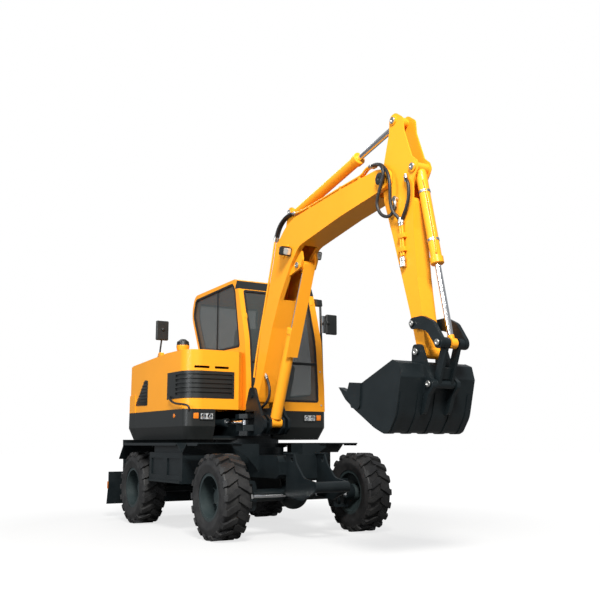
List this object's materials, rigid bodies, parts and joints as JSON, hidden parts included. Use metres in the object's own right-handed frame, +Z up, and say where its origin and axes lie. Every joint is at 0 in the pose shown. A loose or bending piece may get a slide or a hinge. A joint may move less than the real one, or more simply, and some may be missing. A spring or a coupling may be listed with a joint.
{
  "type": "wheeled excavator",
  "caption": "Wheeled mini excavator with a slewing cab, swing-post boom, arm and bucket with their cylinders, front steering and a rear dozer blade.",
  "frame": {"origin": "on the floor under the slewing centre, half way between the axles", "axes": "+X forward, +Y to the machine's left, +Z up"},
  "size_m": [5.6661, 2.0304, 3.7499],
  "materials": {
    "body_paint": "gloss",
    "undercarriage_paint": "semi-gloss",
    "black_plastic": "satin",
    "rubber": "matte",
    "tinted_glass": "gloss",
    "chrome": "polished",
    "lamp_lens": "gloss",
    "cast_iron": "matte"
  },
  "bodies": {
    "undercarriage": {"chassis": "undercarriage_paint", "rear_axle": "undercarriage_paint", "front_axle": "undercarriage_paint", "fenders_front": "undercarriage_paint", "fenders_rear": "undercarriage_paint", "step_boxes": "undercarriage_paint", "bucket_rest": "undercarriage_paint"},
    "blade": {"blade": "undercarriage_paint"},
    "blade_barrel": {"blade_barrel": "body_paint"},
    "blade_rod": {"blade_rod": "chrome"},
    "knuckle_left": {"knuckle_left": "undercarriage_paint"},
    "knuckle_right": {"knuckle_right": "undercarriage_paint"},
    "steering_rod": {"steering_rod": "chrome"},
    "wheel_front_left": {"rim_front_left": "undercarriage_paint", "tyre_front_left": "rubber"},
    "wheel_front_right": {"rim_front_right": "undercarriage_paint", "tyre_front_right": "rubber"},
    "wheel_rear_left": {"rim_rear_left": "undercarriage_paint", "tyre_rear_left": "rubber"},
    "wheel_rear_right": {"rim_rear_right": "undercarriage_paint", "tyre_rear_right": "rubber"},
    "upper": {"deck": "undercarriage_paint", "counterweight": "body_paint", "guards": "black_plastic", "front_lamps": "lamp_lens", "hood": "body_paint", "grille": "black_plastic", "engine_block": "cast_iron", "cab_shell": "body_paint", "cab_glass": "tinted_glass", "seat": "black_plastic", "controls": "black_plastic", "rail_mirrors": "black_plastic", "pre_cleaner": "black_plastic"},
    "cab_door": {"cab_door": "body_paint", "door_glass": "tinted_glass"},
    "engine_lid": {"engine_lid": "body_paint"},
    "swing_post": {"swing_post": "body_paint"},
    "swing_barrel": {"swing_barrel": "body_paint"},
    "swing_rod": {"swing_rod": "chrome"},
    "boom": {"boom": "body_paint"},
    "boom_barrel": {"boom_barrel": "body_paint"},
    "boom_rod": {"boom_rod": "chrome"},
    "arm": {"arm": "body_paint"},
    "arm_barrel": {"arm_barrel": "body_paint"},
    "arm_rod": {"arm_rod": "chrome"},
    "bucket_barrel": {"bucket_barrel": "body_paint"},
    "bucket_rod": {"bucket_rod": "chrome"},
    "guide_link": {"guide_link": "undercarriage_paint"},
    "bucket_link": {"bucket_link": "undercarriage_paint"},
    "bucket": {"bucket": "undercarriage_paint"}
  },
  "joints": [
    {"name": "steer", "type": "hinge", "parent": "undercarriage", "child": "knuckle_left", "pos_m": [1.05, 0.6, 0.412], "axis": [0, 0, 1], "range_deg": [-30, 30]},
    {"name": "steer_right", "type": "hinge", "parent": "undercarriage", "child": "knuckle_right", "pos_m": [1.05, -0.6, 0.412], "axis": [0, 0, 1], "range_deg": [-31, 31]},
    {"name": "steer_rod_slide", "type": "slide", "parent": "undercarriage", "child": "steering_rod", "axis": [0, 1, 0], "range_m": [-0.07, 0.07]},
    {"name": "roll_front_left", "type": "hinge", "parent": "knuckle_left", "child": "wheel_front_left", "pos_m": [1.05, 0.825, 0.412], "axis": [0, 1, 0], "continuous": true},
    {"name": "roll_front_right", "type": "hinge", "parent": "knuckle_right", "child": "wheel_front_right", "pos_m": [1.05, -0.825, 0.412], "axis": [0, 1, 0], "continuous": true},
    {"name": "roll_rear_left", "type": "hinge", "parent": "undercarriage", "child": "wheel_rear_left", "pos_m": [-1.05, 0.825, 0.412], "axis": [0, 1, 0], "continuous": true},
    {"name": "roll_rear_right", "type": "hinge", "parent": "undercarriage", "child": "wheel_rear_right", "pos_m": [-1.05, -0.825, 0.412], "axis": [0, 1, 0], "continuous": true},
    {"name": "blade_lift", "type": "hinge", "parent": "undercarriage", "child": "blade", "pos_m": [-1.24, 0, 0.49], "axis": [0, -1, 0], "range_deg": [-12, 35]},
    {"name": "blade_barrel_pivot", "type": "hinge", "parent": "undercarriage", "child": "blade_barrel", "pos_m": [-1.275, 0, 0.745], "axis": [0, -1, 0], "range_deg": [-10, 29]},
    {"name": "blade_rod_slide", "type": "slide", "parent": "blade_barrel", "child": "blade_rod", "axis": [-0.8892, 0, -0.4575], "range_m": [-0.05, 0.14]},
    {"name": "slew", "type": "hinge", "parent": "undercarriage", "child": "upper", "pos_m": [0, 0, 0.935], "axis": [0, 0, 1], "continuous": true},
    {"name": "door_swing", "type": "hinge", "parent": "upper", "child": "cab_door", "pos_m": [-0.592, 0.878, 1.6], "axis": [0, 0, 1], "range_deg": [0, 160]},
    {"name": "lid_open", "type": "hinge", "parent": "upper", "child": "engine_lid", "pos_m": [-1.018, 0, 1.884], "axis": [0, 1, 0], "range_deg": [0, 55]},
    {"name": "boom_swing", "type": "hinge", "parent": "upper", "child": "swing_post", "pos_m": [0.64, -0.147, 1.12], "axis": [0, 0, 1], "range_deg": [-60, 80]},
    {"name": "swing_barrel_pivot", "type": "hinge", "parent": "upper", "child": "swing_barrel", "pos_m": [-0.15, -0.56, 1.143], "axis": [0, 0, 1], "range_deg": [-5, 4]},
    {"name": "swing_rod_slide", "type": "slide", "parent": "swing_barrel", "child": "swing_rod", "axis": [0.9561, 0.2932, 0], "range_m": [-0.135, 0.178]},
    {"name": "boom_lift", "type": "hinge", "parent": "swing_post", "child": "boom", "pos_m": [0.69, -0.147, 1.425], "axis": [0, -1, 0], "range_deg": [-75, 32]},
    {"name": "boom_barrel_pivot", "type": "hinge", "parent": "swing_post", "child": "boom_barrel", "pos_m": [0.92, -0.147, 1.136], "axis": [0, -1, 0], "range_deg": [-74, 32]},
    {"name": "boom_rod_slide", "type": "slide", "parent": "boom_barrel", "child": "boom_rod", "axis": [0.3654, 0, 0.9308], "range_m": [-0.43, 0.185]},
    {"name": "arm_swing", "type": "hinge", "parent": "boom", "child": "arm", "pos_m": [2.99, -0.147, 3.18], "axis": [0, 1, 0], "range_deg": [-60, 20]},
    {"name": "arm_barrel_pivot", "type": "hinge", "parent": "boom", "child": "arm_barrel", "pos_m": [1.36, -0.147, 3.29], "axis": [0, 1, 0], "range_deg": [-3, 2]},
    {"name": "arm_rod_slide", "type": "slide", "parent": "arm_barrel", "child": "arm_rod", "axis": [0.9746, 0, 0.224], "range_m": [-0.515, 0.175]},
    {"name": "bucket_curl", "type": "hinge", "parent": "arm", "child": "bucket", "pos_m": [3.413, -0.147, 1.637], "axis": [0, 1, 0], "range_deg": [-105, 30]},
    {"name": "guide_link_pivot", "type": "hinge", "parent": "arm", "child": "guide_link", "pos_m": [3.37, -0.147, 1.868], "axis": [0, 1, 0], "range_deg": [-84, 25]},
    {"name": "bucket_link_pivot", "type": "hinge", "parent": "guide_link", "child": "bucket_link", "pos_m": [3.673, -0.147, 1.686], "axis": [0, 1, 0], "range_deg": [-15, 49]},
    {"name": "bucket_barrel_pivot", "type": "hinge", "parent": "arm", "child": "bucket_barrel", "pos_m": [3.35, -0.147, 3.2], "axis": [0, 1, 0], "range_deg": [-6, 2]},
    {"name": "bucket_rod_slide", "type": "slide", "parent": "bucket_barrel", "child": "bucket_rod", "axis": [0.2086, 0, -0.978], "range_m": [-0.45, 0.13]}
  ],
  "couplings": [
    {"joint": "steer_right", "follows": "steer", "ratio": 1},
    {"joint": "steer_rod_slide", "follows": "steer", "m_per_rad": 0.13},
    {"joint": "blade_barrel_pivot", "follows": "blade_lift", "ratio": 0.8039},
    {"joint": "blade_rod_slide", "follows": "blade_lift", "m_per_rad": 0.2235},
    {"joint": "swing_barrel_pivot", "follows": "boom_swing", "ratio": -0.0513},
    {"joint": "swing_rod_slide", "follows": "boom_swing", "m_per_rad": 0.1238},
    {"joint": "boom_barrel_pivot", "follows": "boom_lift", "ratio": 0.9651},
    {"joint": "boom_rod_slide", "follows": "boom_lift", "m_per_rad": 0.324},
    {"joint": "arm_barrel_pivot", "follows": "arm_swing", "ratio": 0.0306},
    {"joint": "arm_rod_slide", "follows": "arm_swing", "m_per_rad": 0.4855},
    {"joint": "guide_link_pivot", "follows": "bucket_curl", "ratio": 0.7884},
    {"joint": "bucket_link_pivot", "follows": "bucket_curl", "ratio": -0.455},
    {"joint": "bucket_barrel_pivot", "follows": "bucket_curl", "ratio": 0.0483},
    {"joint": "bucket_rod_slide", "follows": "bucket_curl", "m_per_rad": 0.2411}
  ]
}
